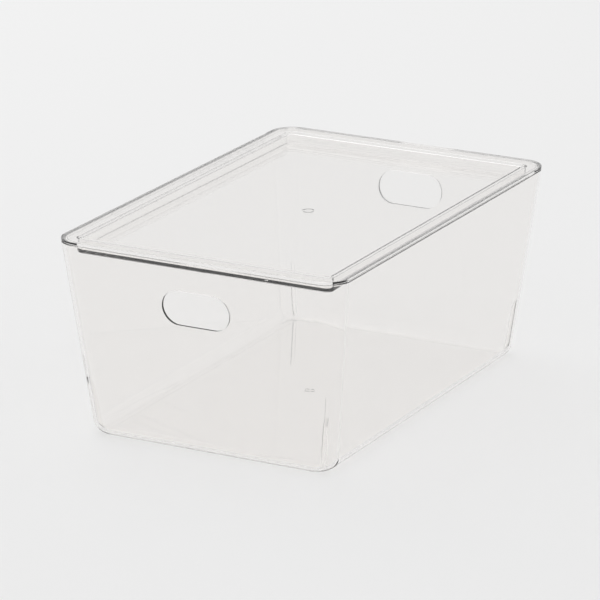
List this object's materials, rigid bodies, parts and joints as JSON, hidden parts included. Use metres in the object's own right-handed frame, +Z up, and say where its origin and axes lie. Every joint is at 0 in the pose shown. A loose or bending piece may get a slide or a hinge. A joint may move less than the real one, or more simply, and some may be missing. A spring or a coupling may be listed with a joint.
{
  "type": "storage box with lid",
  "caption": "Clear tapered storage box with rounded corners, a hand hole in each end and a lift-off lid whose sunken panel seats the foot of another box.",
  "frame": {"origin": "centre of the flat underside of the box, on the surface it stands on", "axes": "+Z up; +X across the box; +Y along its length, from one hand hole to the other"},
  "size_m": [0.28, 0.424, 0.1832],
  "materials": {
    "clear_tub": "clear moulded acrylic, polished",
    "clear_lid": "clear moulded acrylic, polished"
  },
  "bodies": {
    "tub": {"tub": "clear_tub"},
    "lid": {"lid": "clear_lid"}
  },
  "joints": [
    {"name": "lid_lift", "type": "slide", "parent": "tub", "child": "lid", "axis": [0, 0, 1], "range_m": [0, 0.2]}
  ]
}
